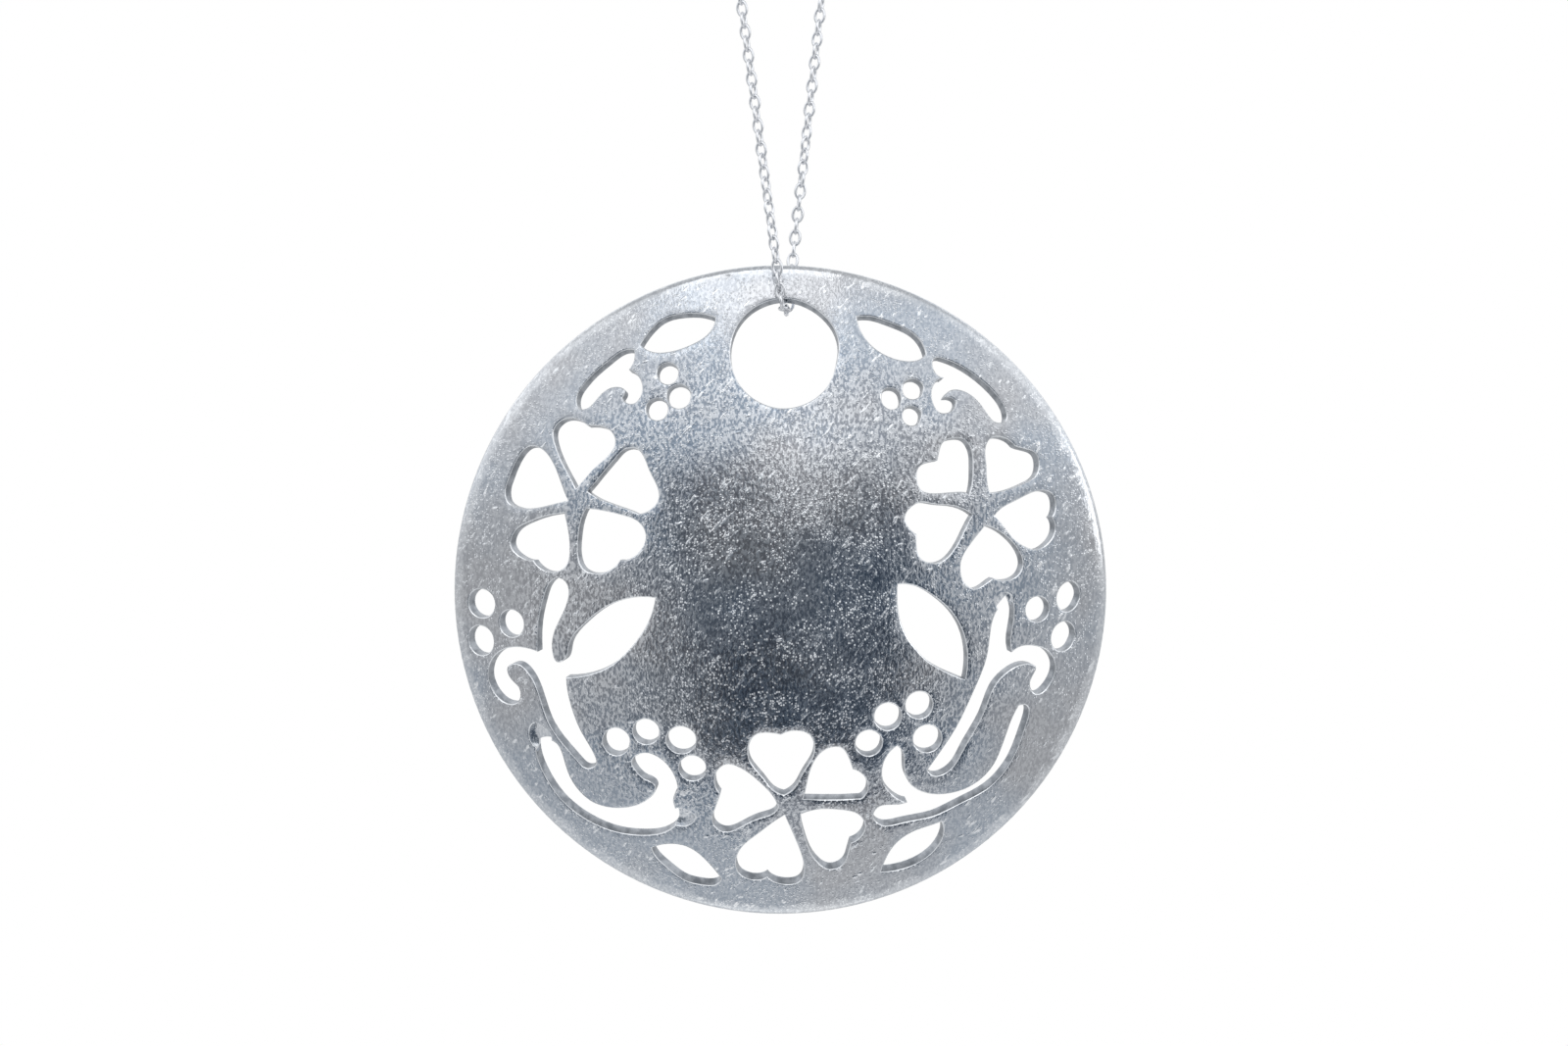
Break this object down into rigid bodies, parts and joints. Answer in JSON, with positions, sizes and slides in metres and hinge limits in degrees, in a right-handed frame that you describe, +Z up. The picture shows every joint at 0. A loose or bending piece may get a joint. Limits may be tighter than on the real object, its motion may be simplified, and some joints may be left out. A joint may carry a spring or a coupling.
{
  "type": "flower pendant necklace",
  "caption": "Round domed pendant of silver sheet pierced with a wreath of blossoms, berries and leaves, hung through its large hole on a fine trace chain with a ring clasp.",
  "frame": {"origin": "where the necklace rests at the nape: the underside of the chain at the top of its loop", "axes": "+Z up along the hanging necklace, -Y out of the pendant's front, towards the viewer, +X to the viewer's right"},
  "size_m": [0.06, 0.0111, 0.2646],
  "materials": {
    "disc_silver": "sterling silver with a fine sand-like crinkled grain, its cut edges smooth",
    "chain_silver": "bright polished sterling silver wire"
  },
  "bodies": {
    "chain": {"trace_chain": "chain_silver", "clasp_ring": "chain_silver", "end_ring": "chain_silver"},
    "pendant": {"pendant_disc": "disc_silver"}
  },
  "joints": [
    {"name": "pendant_swing", "type": "hinge", "parent": "chain", "child": "pendant", "pos_m": [0.00213, -0.00044, -0.2068], "axis": [0, 1, 0], "range_deg": [-15, 15]}
  ]
}
